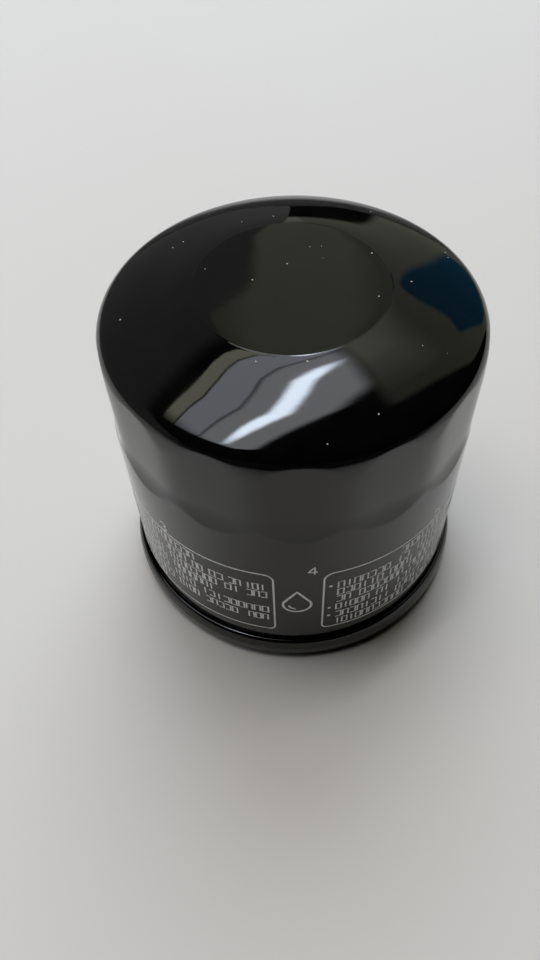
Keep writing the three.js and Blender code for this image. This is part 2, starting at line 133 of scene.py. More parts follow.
def rounded(corners, support=0.12, arc_step=12):
    """An outline from (r, z, radius) corners: a corner with a radius becomes an arc."""
    outline = []
    for i, corner in enumerate(corners):
        here = Vector(corner[:2])
        if len(corner) < 3:
            outline.append(tuple(here))
            continue
        to_last = Vector(corners[i - 1][:2]) - here
        to_next = Vector(corners[(i + 1) % len(corners)][:2]) - here
        half = to_last.angle(to_next) / 2
        room = 0.48 * min(to_last.length, to_next.length)
        reach = min(corner[2] / math.tan(half), room)
        radius = reach * math.tan(half)
        ways = [to_last.normalized(), to_next.normalized()]
        start, end = [here + way * reach for way in ways]
        centre = here + (ways[0] + ways[1]).normalized() * (radius / math.sin(half))
        first = math.atan2(*(start - centre).yx)
        sweep = (math.atan2(*(end - centre).yx) - first + math.pi) % (2 * math.pi) - math.pi
        steps = max(2, math.ceil(abs(math.degrees(sweep)) / arc_step))
        if reach + support < room:
            outline.append(tuple(here + ways[0] * (reach + support)))
        for k in range(steps + 1):
            a = first + sweep * k / steps
            outline.append((centre.x + radius * math.cos(a), centre.y + radius * math.sin(a)))
        if reach + support < room:
            outline.append(tuple(here + ways[1] * (reach + support)))
    return outline


def revolved(name, outline, columns=192, press=None, sharp=35):
    """A closed outline, up the outside and down the inside, turned about Z. press gives a pressed
    point's new radius."""
    points, rows = [], []
    for r, z, *rest in outline:
        if r == 0:
            rows.append([len(points)] * columns)
            points.append((0, 0, z))
            continue
        row = []
        for k in range(columns):
            a = 2 * math.pi * k / columns
            radius = press(r, z, a, *rest) if press else r
            row.append(len(points))
            points.append((radius * math.sin(a), -radius * math.cos(a), z))
        rows.append(row)
    faces = []
    for a, b in zip(rows, rows[1:] + rows[:1]):
        if a[0] == a[1] and b[0] == b[1]:
            continue
        for k in range(columns):
            n = (k + 1) % columns
            faces.append(list(dict.fromkeys([a[k], a[n], b[n], b[k]])))
    return mesh_object(name, points, faces, sharp)


def extruded(name, outline, low, high, rows=1, sharp=35, sway=None):
    """A closed outline in plan, anticlockwise, extruded upwards. sway moves a point at a height."""
    count = len(outline)
    points = []
    for j in range(rows + 1):
        z = low + (high - low) * j / rows
        points += [(*(sway(x, y, z) if sway else (x, y)), z) for x, y in outline]
    faces = []
    for j in range(rows):
        for i in range(count):
            n = (i + 1) % count
            faces.append([j * count + i, j * count + n, (j + 1) * count + n, (j + 1) * count + i])
    faces.append(list(range(count))[::-1])
    faces.append([rows * count + i for i in range(count)])
    return mesh_object(name, points, faces, sharp)


def carved(piece, cutters, sharp=35):
    """Cuts the cutters out of the piece and removes them."""
    for cutter in cutters:
        modifier = piece.modifiers.new("cut", "BOOLEAN")
        modifier.object = cutter
        modifier.operation = "DIFFERENCE"
        modifier.solver = "EXACT"
    evaluated = piece.evaluated_get(bpy.context.evaluated_depsgraph_get())
    mesh = bpy.data.meshes.new_from_object(evaluated)
    piece.modifiers.clear()
    piece.data = mesh
    mesh.shade_smooth()
    mesh.set_sharp_from_angle(angle=math.radians(sharp))
    for cutter in cutters:
        bpy.data.objects.remove(cutter)
    return piece


def coil(name, turns, wire, centre, steps_per_turn=48, sides=16, ends=None):
    """A wire wound about Z. centre(t) gives its (radius, height); ends are the ground planes."""
    steps = round(turns * steps_per_turn)
    points, faces = [], []
    for i in range(steps + 1):
        t = i / steps
        r, z = centre(t)
        a = t * turns * 2 * math.pi
        for k in range(sides):
            b = 2 * math.pi * k / sides
            radius, height = r + wire / 2 * math.cos(b), z + wire / 2 * math.sin(b)
            if ends:
                height = min(ends[1], max(ends[0], height))
            points.append((radius * math.cos(a), radius * math.sin(a), height))
    for i in range(steps):
        for k in range(sides):
            n = (k + 1) % sides
            faces.append([i * sides + k, (i + 1) * sides + k, (i + 1) * sides + n, i * sides + n])
    faces.append(list(range(sides)))
    faces.append([steps * sides + k for k in range(sides)][::-1])
    return mesh_object(name, points, faces, 50)


def cylinder(name, r, low, high, at=(0, 0), columns=64):
    angles = [2 * math.pi * k / columns for k in range(columns)]
    outline = [(at[0] + r * math.cos(a), at[1] + r * math.sin(a)) for a in angles]
    return extruded(name, outline, low, high)


# ------------------------------------------------------------------ can
def dome_meridian():
    """The outside of the dome from the wall's top in to the axis, as (r, z)."""
    points = [(0, HEIGHT)]
    z = HEIGHT
    for (r0, s0), (r1, s1) in zip(DOME_SLOPES, DOME_SLOPES[1:]):
        step = 0.05 if r1 - r0 < 0.3 else 0.25
        if s1 == 0:
            step = 2
        count = max(1, round((r1 - r0) / step))
        for i in range(count):
            slope = math.radians(s0 + (s1 - s0) * (i + 0.5) / count)
            z -= math.tan(slope) * (r1 - r0) / count
            points.append((r0 + (r1 - r0) * (i + 1) / count, z))
    turns = [math.radians(slope) for slope in (DOME_SLOPES[-1][1], SHOULDER_TURN, 90)]
    turn_r = SHOULDER_START_R + SHOULDER_R * (math.sin(turns[1]) - math.sin(turns[0]))
    bends = (SHOULDER_R, (CAN_R - turn_r) / (1 - math.sin(turns[1])))
    for start, end, bend in zip(turns, turns[1:], bends):
        r, z = points[-1]
        steps = 14
        for i in range(1, steps + 1):
            slope = start + (end - start) * i / steps
            across = bend * (math.sin(slope) - math.sin(start))
            points.append((r + across, z - bend * (math.cos(start) - math.cos(slope))))
    return points[::-1]


def pressed(r, z, angle, back=0):
    """The wrench flats: each face ramps in over the run-out and cuts off what stands outside it.
    back is how far inside the outer skin the point lies."""
    if z < RUNOUT_LOW:
        return r
    length, knee = RUNOUT_HIGH - RUNOUT_LOW, RUNOUT_STEEPEST - RUNOUT_LOW
    rise = min(z - RUNOUT_LOW, length)
    if rise < knee:
        ramp = rise ** 2 / (knee * length)
    else:
        ramp = 1 - (length - rise) ** 2 / ((length - knee) * length)
    face = CAN_R - (CAN_R - FLAT_APOTHEM) * ramp
    pitch = 2 * math.pi / FLATS
    off = (angle + pitch / 2) % pitch - pitch / 2
    faces = sum(max(0, math.cos(off - k * pitch)) ** CORNER_SHARPNESS for k in (-1, 0, 1))
    depth = r + back - face / faces ** (1 / CORNER_SHARPNESS)
    soft = 0.04 * ramp
    return r - (depth + math.sqrt(depth * depth + soft * soft)) / 2


def canister():
    dome = dome_meridian()
    wall = [HOOK_Z + 1.5, 8, 14, 20, 26, 32, 38, 39.5]
    runout = [RUNOUT_LOW + 0.15 * i for i in range(14)]
    runout += [42.7, 43.1, 43.5, 44, 44.5, 45, 45.5, RUNOUT_HIGH]
    flats = [46.5, 48, 50]
    inner = CAN_R - WALL
    outside = [(HOOK_R - 0.6, HOOK_Z), (HOOK_R, HOOK_Z + 0.1), (HOOK_R, HOOK_Z + 0.5)]
    outside += [(CAN_R + 0.2, HOOK_Z + 0.8), (CAN_R, HOOK_Z + 1.3)]
    outside += [(CAN_R, z) for z in wall + runout + flats] + dome
    inside = [(r, z - WALL) for r, z in dome[::-6] if r < 30]
    inside += [(31.2, 60.1 - WALL, WALL), (inner, dome[0][1] - WALL, WALL)]
    inside += [(inner, z, WALL) for z in (50, 46, 45, 44, 43, 42, 41, 40)]
    inside += [(inner, HOOK_Z + 1), (inner + 0.2, HOOK_Z + 0.3)]
    return revolved("oil_can", outside + inside, FLATS * 24, pressed, sharp=40)


# ------------------------------------------------------------------ foot of the filter
def seaming_lid():
    wall = GASKET_OUT + 0.3
    groove = GASKET_H + 0.3
    lip = GASKET_IN - 0.3 - LID_GAUGE
    inner = wall + LID_GAUGE
    return revolved("rolled_lid", rounded([
        (wall, groove), (wall, RIM_Z, 0.9), (SEAM_R, RIM_Z, 1.5), (SEAM_R - 0.04, 3.9, 1.8),
        (SEAM_R - 0.33, 5.3, 1.0), (SEAM_R - 0.8, SEAM_TOP - 0.02, 0.4), (CAN_R + 0.14, SEAM_TOP, 0.12),
        (CAN_R + 0.16, SEAM_TOP - 0.5, 0.1), (HOOK_R + 0.08, SEAM_TOP - 0.75, 0.3),
        (SEAM_R - LID_GAUGE, 4.6, 0.6), (SEAM_R - LID_GAUGE, RIM_Z + LID_GAUGE, 1.0),
        (inner, RIM_Z + LID_GAUGE, 0.5), (inner, groove + LID_GAUGE, 0.15), (lip, groove + LID_GAUGE, 0.5),
        (lip, 2.3, 0.18), (lip + LID_GAUGE, 2.3, 0.18), (lip + LID_GAUGE, groove, 0.2),
    ]), 336)


def seam_sealant():
    low, high = lowest("seam_sealant"), highest("seam_sealant")
    inner, outer = CAN_R - WALL, widest("seam_sealant")
    return revolved("lining_compound", rounded([
        (inner, low, 0.15), (outer, low + 0.1, 0.5), (outer, high, 0.15), (inner, high, 0.15),
    ]), 240)


def sealing_gasket():
    middle = (GASKET_IN + GASKET_OUT) / 2
    return revolved("gasket_ring", rounded([
        (GASKET_IN, 0, 0.55), (middle - 0.12, 0, 0.04), (middle, 0.07, 0.05), (middle + 0.12, 0, 0.04),
        (GASKET_OUT, 0, 0.55), (GASKET_OUT, 1.9, 0.05), (GASKET_OUT - 0.12, 2.05, 0.05),
        (GASKET_OUT, 2.2, 0.05), (GASKET_OUT, GASKET_H, 0.35), (GASKET_IN, GASKET_H, 0.35),
    ]), 240)


def thread_tap(low, high, columns=96):
    """A solid screw with truncated 60 degree flanks, for cutting the female thread."""
    tooth = [(0, THREAD_MINOR), (0.25, THREAD_MINOR), (0.5625, THREAD_MAJOR), (0.6875, THREAD_MAJOR)]
    turns = math.ceil((high - low) / THREAD_PITCH) + 3
    rows = turns * len(tooth)
    points, faces = [], []
    for i in range(columns + 1):
        a = 2 * math.pi * i / columns
        for j in range(rows + 1):
            share, diameter = tooth[j % len(tooth)]
            z = low + THREAD_PITCH * (j // len(tooth) + share + i / columns - 2)
            if i < columns:
                points.append((diameter / 2 * math.cos(a), diameter / 2 * math.sin(a), z))
    stride = rows + 1
    for i in range(columns):
        shift = len(tooth) if i == columns - 1 else 0
        here, there = i * stride, (i + 1) % columns * stride + shift
        for j in range(rows - shift):
            faces.append([here + j, there + j, there + j + 1, here + j + 1])
    foot, head = len(points), len(points) + 1
    points += [(0, 0, low - 3 * THREAD_PITCH), (0, 0, low + THREAD_PITCH * turns)]
    for i in range(columns):
        shift = len(tooth) if i == columns - 1 else 0
        n = (i + 1) % columns
        faces.append([foot, n * stride + shift, i * stride])
        faces.append([head, i * stride + rows - shift, n * stride + rows])
    for j in range(len(tooth)):
        last = (columns - 1) * stride + rows - len(tooth) + j
        faces += [[foot, j, j + 1], [head, last + 1, last]]
    return mesh_object("tap", points, faces)


def thread_plate():
    blank = revolved("threaded_plate", rounded([
        (0, PLATE_FACE), (25.3, PLATE_FACE, 0.1), (25.5, PLATE_LOW, 0.1), (PLATE_R, PLATE_LOW, 0.4),
        (PLATE_R, PLATE_TOP, 0.2), (HUB_R, PLATE_TOP, 0.9), (HUB_R, HUB_TOP, 0.5), (0, HUB_TOP),
    ]), 240)
    chamfers = [
        revolved("lead_in", [(0, PLATE_FACE - 1), (THREAD_MAJOR / 2 + 1.3, PLATE_FACE - 1),
                             (THREAD_MINOR / 2 - 0.1, PLATE_FACE + 1.2), (0, PLATE_FACE + 1.2)], 96),
        revolved("lead_out", [(0, HUB_TOP - 0.6), (THREAD_MINOR / 2 - 0.1, HUB_TOP - 0.6),
                              (THREAD_MAJOR / 2 + 0.6, HUB_TOP + 0.6), (0, HUB_TOP + 0.6)], 96),
    ]
    inlets = []
    for k in range(INLETS):
        a = 2 * math.pi * (k + 0.5) / INLETS
        at = (INLET_CIRCLE_R * math.cos(a), INLET_CIRCLE_R * math.sin(a))
        inlets.append(cylinder("inlet", INLET_R, PLATE_FACE - 2, PLATE_TOP + 2, at))
    return carved(blank, [thread_tap(PLATE_FACE, HUB_TOP)] + chamfers + inlets, sharp=25)


# ------------------------------------------------------------------ drainback valve and grommet
def drainback_valve():
    low, high = lowest("drainback_valve"), highest("drainback_valve")
    rim = widest("drainback_valve")
    return revolved("drainback_flap", rounded([
        (BORE_R, low + 0.7, 0.1), (15.2, low + 0.7, 0.8), (rim - 1.2, low, 0.3), (rim - 0.3, low, 0.1),
        (rim, low + 0.15, 0.1), (rim, low + 0.7, 0.2), (rim - 1, low + 0.9, 0.8), (15.4, high, 0.8),
        (BORE_R, high, 0.1),
    ]), 192)


def element_grommet():
    low, high = lowest("element_grommet"), highest("element_grommet")
    neck = TUBE_R - SHEET - 0.4
    rim, shelf = widest("element_grommet"), lowest("lower_end_cap") - 0.3
    return revolved("hub_grommet", rounded([
        (BORE_R, low, 0.25), (rim, low, 0.35), (rim, shelf, 0.3), (neck, shelf, 0.1),
        (neck, high, 0.3), (BORE_R, high, 0.25),
    ]), 160)


# ------------------------------------------------------------------ filter element
def end_cap(name, node, bore, up):
    """A pressed ring with its outer edge turned over and a shallow stiffening bead."""
    face = lowest(node) if up > 0 else highest(node)
    edge = face + up * 3.2
    inner = face + up * SHEET
    dip = up * 0.22
    corners = [
        (bore, face, 0.15), (19, face, 1), (19.6, face + dip, 1), (21.4, face + dip, 1), (22, face, 1),
        (CAP_R, face, 0.8), (CAP_R, edge, 0.15), (CAP_R - SHEET, edge, 0.15), (CAP_R - SHEET, inner, 0.35),
        (bore, inner, 0.15),
    ]
    return revolved(name, rounded(corners if up > 0 else corners[::-1]), 192)


def potting(name, node):
    low, high = lowest(node), highest(node)
    return revolved(name, rounded([
        (TUBE_R + 0.3, low, 0.1), (PLEAT_OUT, low, 0.2), (PLEAT_OUT, high, 0.3), (20.5, high - 0.12, 3),
        (TUBE_R + 0.3, high, 0.3),
    ]), 160)


def centre_tube():
    low, high = lowest("centre_tube"), highest("centre_tube")
    tube = revolved("perforated_tube", rounded([
        (TUBE_R - SHEET, low, 0.12), (TUBE_R, low, 0.12), (TUBE_R, high, 0.12), (TUBE_R - SHEET, high, 0.12),
    ]), 240)
    rows, holes = 5, 6
    drills = []
    for row in range(rows):
        z = low + (high - low) / (rows + 0.6) * (row + 0.8)
        for k in range(holes // 2):
            drill = cylinder("drill", 2, -20, 20, columns=48)
            turn = Matrix.Rotation(2 * math.pi * (k + (row % 2) / 2) / holes, 4, "Z")
            lift = Matrix.Translation((0, 0, z * MM))
            drill.data.transform(lift @ turn @ Matrix.Rotation(math.pi / 2, 4, "X"))
            drills.append(drill)
    return carved(tube, drills)


def pleated_paper():
    """One strip folded into pleats with round tips; its two cut ends meet in the open pleat at -X."""
    pitch = 2 * math.pi / PLEATS
    bend = FOLD + PAPER / 2
    root, tip = PLEAT_IN + PAPER / 2 + bend, PLEAT_OUT - PAPER / 2 - bend
    middle = []

    def lay(radial, along, angle):
        cosine, sine = math.cos(angle), math.sin(angle)
        middle.append(Vector((radial, along)) @ Matrix(((-cosine, -sine), (sine, -cosine))))

    lay(PLEAT_OUT - 0.9, bend, 0)
    for k in range(PLEATS):
        for i in range(9):
            b = math.pi * (i / 8 - 0.5)
            lay(root - bend * math.cos(b), bend * math.sin(b), (k + 0.5) * pitch)
        if k == PLEATS - 1:
            break
        for i in range(9):
            b = math.pi * (i / 8 - 0.5)
            lay(tip + bend * math.cos(b), bend * math.sin(b), (k + 1) * pitch)
    lay(PLEAT_OUT - 0.9, -bend, 0)
    sides = [[], []]
    for i, here in enumerate(middle):
        way = (middle[min(i + 1, len(middle) - 1)] - middle[max(i - 1, 0)]).normalized()
        out = Vector((way.y, -way.x)) * PAPER / 2
        sides[0].append(tuple(here + out))
        sides[1].append(tuple(here - out))
    outline = sides[0] + sides[1][::-1]
    return extruded("filter_pleats", outline, lowest("pleated_paper"), highest("pleated_paper"), 4, 60)


def pleat_clip():
    half, thick = 1.1, 0.35
    mouth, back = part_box("pleat_clip")[1].x / MM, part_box("pleat_clip")[0].x / MM
    outline = rounded([
        (mouth, -half - thick, 0.1), (mouth, -half, 0.1), (back + thick, -half, 0.25),
        (back + thick, half, 0.25), (mouth, half, 0.1), (mouth, half + thick, 0.1),
        (back, half + thick, 0.6), (back, -half - thick, 0.6),
    ], support=5)
    return extruded("pleat_channel", outline[::-1], lowest("pleat_clip"), highest("pleat_clip"), 4)


# ------------------------------------------------------------------ bypass valve
def bypass_seat():
    low, high = lowest("bypass_seat"), highest("bypass_seat")
    bore, rim = 6.8, widest("bypass_seat")
    return revolved("bypass_seat_ring", rounded([
        (bore, low, 0.2), (bore + SHEET, low, 0.2), (bore + SHEET, high - SHEET, 0.3),
        (rim, high - SHEET, 0.15), (rim, high, 0.15), (bore, high, 0.6),
    ]), 144)


def bypass_seal():
    low, high = lowest("bypass_seal"), highest("bypass_seal")
    rim = widest("bypass_seal")
    return revolved("bypass_seal_ring", rounded([
        (2.2, low, 0.15), (rim, low, 0.2), (rim, high, 0.3), (2.2, high, 0.15),
    ]), 144)


def bypass_poppet():
    low, high = lowest("bypass_poppet"), highest("bypass_poppet")
    rim = widest("bypass_poppet")
    dish_top = lowest("bypass_seal") - 0.3
    dish = dish_top - 0.8
    return revolved("bypass_disc_and_stem", rounded([
        (0, low), (1.5, low, 0.5), (1.5, dish - 0.6, 0.6), (2.7, dish, 0.5), (rim, dish, 0.35),
        (rim, dish_top, 0.25), (1.9, dish_top, 0.2), (1.9, high, 0.6), (0, high),
    ]), 144)


def bypass_cage():
    low, top = lowest("bypass_cage"), highest("bypass_cage")
    floor = low + 1.6
    guide, r, rim = 1.8, 9.9, widest("bypass_cage")
    cup = revolved("bypass_cage_cup", rounded([
        (guide, low, 0.15), (guide + SHEET, low, 0.15), (guide + SHEET, floor, 0.3), (r, floor, 1.1),
        (r, top - SHEET, 0.3), (rim, top - SHEET, 0.15), (rim, top, 0.15), (r - SHEET, top, 0.6),
        (r - SHEET, floor + SHEET, 0.7), (guide, floor + SHEET, 0.3),
    ]), 192)
    windows = []
    for k in range(2):
        shape = rounded([(-4.5, 0, 1.2), (4.5, 0, 1.2), (4.5, 8.4, 1.2), (-4.5, 8.4, 1.2)], support=9)
        window = extruded("window", shape, -15, 15)
        turn = Matrix.Rotation(k * math.pi / 2, 4, "Z")
        lift = Matrix.Translation((0, 0, (floor + 2.2) * MM))
        window.data.transform(lift @ turn @ Matrix.Rotation(math.pi / 2, 4, "X"))
        windows.append(window)
    return carved(cup, windows)


def wound(node, name, wire, turns, low_r, high_r, closed):
    """A compression spring with closed ends that are ground flat."""
    low, high = lowest(node), highest(node)
    ends = (low, high)
    sunk = 0.18 * wire

    def centre(t):
        rise = min(1, max(0, (t * turns - closed) / (turns - 2 * closed)))
        first, last = low + wire / 2 - sunk, high - wire / 2 + sunk
        return low_r + (high_r - low_r) * rise, first + (last - first) * rise

    return coil(name, turns, wire, centre, ends=ends)


def spring_seat():
    low, high = lowest("spring_seat"), highest("spring_seat")
    rim = widest("spring_seat")
    return revolved("spring_locator", rounded([
        (12.6, low, 0.15), (rim, low, 0.7), (rim, high, 0.2), (rim - SHEET, high, 0.2),
        (rim - SHEET, low + SHEET, 0.25), (12.6, low + SHEET, 0.15),
    ]), 144)


# ------------------------------------------------------------------ print on the can
INK_IN, INK_OUT = CAN_R - 0.012, CAN_R + 0.022
LINE = 0.34
PANEL_AZIMUTHS = (-45.7, 44.3, 134.3, -135.7)
PANEL_HALF = 37.2 * math.pi / 180 * CAN_R
PANEL_LOW, PANEL_TOP = 9.9, 30.2
ROW_HEIGHTS = (25.6, 23.0, 20.4, 17.5, 14.5, 11.7)
TITLE_HEIGHT = 28.3
GREEK_PITCH = 1.45


class Print:
    """Ink strokes laid on the round can. x runs along the can's surface from an azimuth, z is height."""

    def __init__(self, azimuth=0):
        self.origin = math.radians(azimuth)
        self.points = []
        self.faces = []

    def stroke(self, path, width=LINE, closed=False, longest=0.8):
        fine = []
        ends = list(zip(path, path[1:] + path[:1])) if closed else list(zip(path, path[1:]))
        for a, b in ends:
            count = max(1, math.ceil(math.dist(a, b) / longest))
            fine += [Vector(a).lerp(Vector(b), k / count) for k in range(count)]
        if not closed:
            fine.append(Vector(path[-1]))
        first, total = len(self.points), len(fine)
        for i, here in enumerate(fine):
            last = fine[i - 1] if closed or i else here
            after = fine[(i + 1) % total] if closed or i < total - 1 else here
            way = (after - last).normalized()
            across = Vector((-way.y, way.x)) * width / 2
            for side, r in ((-1, INK_IN), (-1, INK_OUT), (1, INK_OUT), (1, INK_IN)):
                x, z = here + across * side
                a = self.origin + x / CAN_R
                self.points.append((r * math.sin(a), -r * math.cos(a), z))
        for i in range(total if closed else total - 1):
            n = (i + 1) % total
            for k in range(4):
                j = (k + 1) % 4
                here, there = first + 4 * i, first + 4 * n
                self.faces.append([here + k, here + j, there + j, there + k])
        if not closed:
            self.faces.append([first + k for k in range(4)][::-1])
            self.faces.append([first + 4 * (total - 1) + k for k in range(4)])

    def word(self, start, end, z, height=2.0, seed=0):
        """Greeked text: a row of plain boxes, arches, hooks and bars, with no word in it."""
        count = max(2, round((end - start) / GREEK_PITCH))
        low, high = z - height / 2, z + height / 2
        for k in range(count):
            left = start + (end - start) * (k + 0.14) / count
            right = start + (end - start) * (k + 0.86) / count
            middle = (left + right) / 2
            feet, heads = [(left, low), (right, low)], [(right, high), (left, high)]
            mark = (seed * 4 + k * 5 + k * k * 3) % 11
            if mark in (0, 7):
                self.stroke([(middle, low), (middle, high)], 0.3, longest=3)
            elif mark < 4:
                self.stroke([feet[0], heads[1], heads[0], feet[1]], 0.32, longest=3)
            elif mark < 7:
                self.stroke([heads[1], heads[0], feet[1], feet[0]], 0.32, longest=3)
            else:
                self.stroke(feet + heads, 0.36, closed=True, longest=3)

    def dot(self, x, z, size):
        self.stroke([(x - size / 2, z), (x + size / 2, z)], size, longest=3)

    def piece(self, name):
        return mesh_object(name, self.points, self.faces, 30)


def quarter(x, z, radius, start):
    """A quarter turn about (x, z) from an angle in degrees, anticlockwise."""
    angles = [math.radians(start + 15 * k) for k in range(7)]
    return [(x + radius * math.cos(a), z + radius * math.sin(a)) for a in angles]


def panel_frame(ink):
    top, foot = 2.0, 1.2
    path = quarter(PANEL_HALF - top, PANEL_TOP - top, top, 0)
    path += quarter(top - PANEL_HALF, PANEL_TOP - top, top, 90)
    path += quarter(foot - PANEL_HALF, PANEL_LOW + foot, foot, 180)
    path += quarter(PANEL_HALF - foot, PANEL_LOW + foot, foot, 270)
    ink.stroke(path, LINE, closed=True)


# Words in each row, as (start, end) degrees of azimuth: from the left edge in a bulleted panel, and
# from the right edge in a plain one.
BULLETED_ROWS = (
    ((4.2, 22.8), (25.1, 30.5), (33, 47), (49.5, 62)),
    ((4.2, 20.5), (22.8, 33), (35.3, 50), (52.5, 60)),
    ((4, 9.3), (11.9, 29), (31.5, 45)),
    ((4, 16.2), (18.5, 24), (26.3, 42), (44.5, 66)),
    ((4, 24.5), (26.8, 39.5), (41.8, 60)),
    ((4, 31.1), (33.4, 52)),
)
PLAIN_ROWS = (
    ((2.2, 9.2), (10.2, 14.7), (16.1, 21.5), (23.5, 27.8), (30, 40), (42.5, 54), (56.5, 70)),
    ((2, 8.9), (10.8, 16.3), (18.8, 38), (40.5, 49), (51.5, 70)),
    ((20.1, 37), (39.5, 52), (54.5, 70)),
    ((1.6, 25.5), (28, 38), (40.5, 53), (55.5, 70)),
    ((1.9, 8.9), (12.3, 24.6), (27, 36), (38.5, 52), (54.5, 70)),
    ((44, 56), (58.5, 70)),
)
BULLET_ROWS = (0, 3, 4)


def print_panel(number, azimuth):
    ink = Print(azimuth)
    panel_frame(ink)
    degree = CAN_R * math.pi / 180
    bulleted = number % 2 == 1
    for i, row in enumerate(BULLETED_ROWS if bulleted else PLAIN_ROWS):
        for k, (start, end) in enumerate(row):
            span = sorted([start * degree, end * degree] if bulleted else [-start * degree, -end * degree])
            edge = -PANEL_HALF if bulleted else PANEL_HALF
            ink.word(edge + span[0], edge + span[1], ROW_HEIGHTS[i], seed=number * 31 + i * 7 + k)
    if bulleted:
        for i in BULLET_ROWS:
            ink.dot(2.1 * degree - PANEL_HALF, ROW_HEIGHTS[i], 0.55)
    ink.word(-6.2, 6.2, TITLE_HEIGHT, seed=number)
    return ink.piece(f"print_panel_{number + 1}")


# Turn marks: the azimuth of each numeral, and the strokes of the numerals on a unit-high cell.
TURN_MARKS = {1: -131, 2: -90.5, 3: -46.8, 4: 3.5, 5: 49, 6: 94, 7: 139, 8: -176}
MARK_HEIGHT, MARK_WIDTH, MARK_Z = 2.4, 1.6, 30.6


def bow(cx, cz, rx, rz, start, end, steps=12):
    """An elliptic arc on the numeral's cell, from one angle to another in degrees."""
    angles = [math.radians(start + (end - start) * k / steps) for k in range(steps + 1)]
    return [(cx + rx * math.cos(a), cz + rz * math.sin(a)) for a in angles]


NUMERALS = {
    1: [[(-0.3, 0.78), (0.05, 1), (0.05, 0)]],
    2: [bow(0, 0.72, 0.45, 0.28, 160, -40) + [(-0.45, 0), (0.48, 0)]],
    3: [bow(-0.05, 0.75, 0.42, 0.25, 150, -90), bow(-0.05, 0.26, 0.5, 0.26, 90, -150)],
    4: [[(0.2, 0), (0.2, 1), (-0.5, 0.3), (0.5, 0.3)]],
    5: [[(0.42, 1), (-0.34, 1), (-0.42, 0.55)] + bow(-0.02, 0.32, 0.47, 0.32, 130, -150)],
    6: [bow(0.02, 0.5, 0.47, 0.5, 60, 200) + bow(0, 0.31, 0.46, 0.31, 180, 540, 24)],
    7: [[(-0.46, 1), (0.46, 1), (-0.1, 0)]],
    8: [bow(0, 0.76, 0.38, 0.24, -90, 270, 24), bow(0, 0.26, 0.47, 0.26, 90, 450, 24)],
}


def turn_marks():
    ink = Print()
    for number, azimuth in TURN_MARKS.items():
        x = math.radians(azimuth) * CAN_R
        for path in NUMERALS[number]:
            ink.stroke([(x + u * MARK_WIDTH, MARK_Z + v * MARK_HEIGHT) for u, v in path], 0.3)
    return ink.piece("turn_marks")


def oil_drop():
    """A plain oil drop in the gap between two panels: a round bowl that tapers to a point."""
    ink = Print(-1.2)
    bowl, z, tip = 2.55, 19.9, 24.7
    touch = math.degrees(math.acos(bowl / (tip - z)))
    path = bow(0, z, bowl, bowl, 90 + touch, 450 - touch, 28) + [(0, tip)]
    ink.stroke(path, 0.45, closed=True)
    ink.stroke(bow(0, z, 1.5, 1.5, 190, 260, 6), 0.4)
    return ink.piece("oil_drop_mark")


# ------------------------------------------------------------------ materials
class Nodes:
    """Short ways to add nodes to a tree. A value is a number, a colour or another node's socket."""

    def __init__(self, tree):
        self.tree = tree

    def node(self, kind, settings=None, **inputs):
        made = self.tree.nodes.new("ShaderNode" + kind)
        for key, value in (settings or {}).items():
            setattr(made, key, value)
        for label, value in inputs.items():
            socket = made.inputs[label.replace("_", " ")]
            if isinstance(value, bpy.types.NodeSocket):
                self.tree.links.new(value, socket)
            else:
                socket.default_value = value
        return made

    def spread(self, value, low, high, from_low=0.3, from_high=0.7):
        """value, from from_low to from_high, brought to the range from low to high."""
        made = self.node("MapRange", Value=value, From_Min=from_low, From_Max=from_high,
                         To_Min=low, To_Max=high)
        return made.outputs["Result"]

    def maths(self, operation, a, b=0.0):
        made = self.node("Math", {"operation": operation})
        for socket, value in zip(made.inputs, (a, b)):
            if isinstance(value, bpy.types.NodeSocket):
                self.tree.links.new(value, socket)
            else:
                socket.default_value = value
        return made.outputs[0]

    def blend(self, share, a, b):
        made = self.node("Mix", {"data_type": "RGBA"})
        for socket, value in zip((made.inputs[0], made.inputs[6], made.inputs[7]), (share, a, b)):
            if isinstance(value, bpy.types.NodeSocket):
                self.tree.links.new(value, socket)
            else:
                socket.default_value = (*value, 1) if isinstance(value, tuple) else value
        return made.outputs[2]


class Finish(Nodes):
    """A node material around one Principled shader, on coordinates in the object's own frame."""

    def __init__(self, name, **values):
        self.material = bpy.data.materials.new(name)
        self.material.use_nodes = True
        super().__init__(self.material.node_tree)
        self.shader = self.tree.nodes["Principled BSDF"]
        self.place = self.node("TexCoord").outputs["Object"]
        for label, value in values.items():
            self.shader.inputs[label.replace("_", " ")].default_value = value

    def stretched(self, x, y, z):
        """The coordinates scaled along each axis, for streaks."""
        return self.node("Mapping", Vector=self.place, Scale=(x, y, z)).outputs["Vector"]

    def noise(self, scale, detail=3, rough=0.5, at=None):
        """Noise with features of about 1 / scale metres, from 0 to 1."""
        at = at or self.place
        return self.node("TexNoise", Vector=at, Scale=scale, Detail=detail, Roughness=rough).outputs["Fac"]

    def cells(self, scale, output="Distance"):
        return self.node("TexVoronoi", Vector=self.place, Scale=scale).outputs[output]

    def red(self, colour):
        """The red share of a cell's colour, which is a random number for each cell."""
        return self.node("SeparateColor", Color=colour).outputs["Red"]

    def set(self, label, socket):
        self.tree.links.new(socket, self.shader.inputs[label])

    def bump(self, height, distance):
        made = self.node("Bump", Height=height, Distance=distance, Strength=1.0)
        self.set("Normal", made.outputs["Normal"])


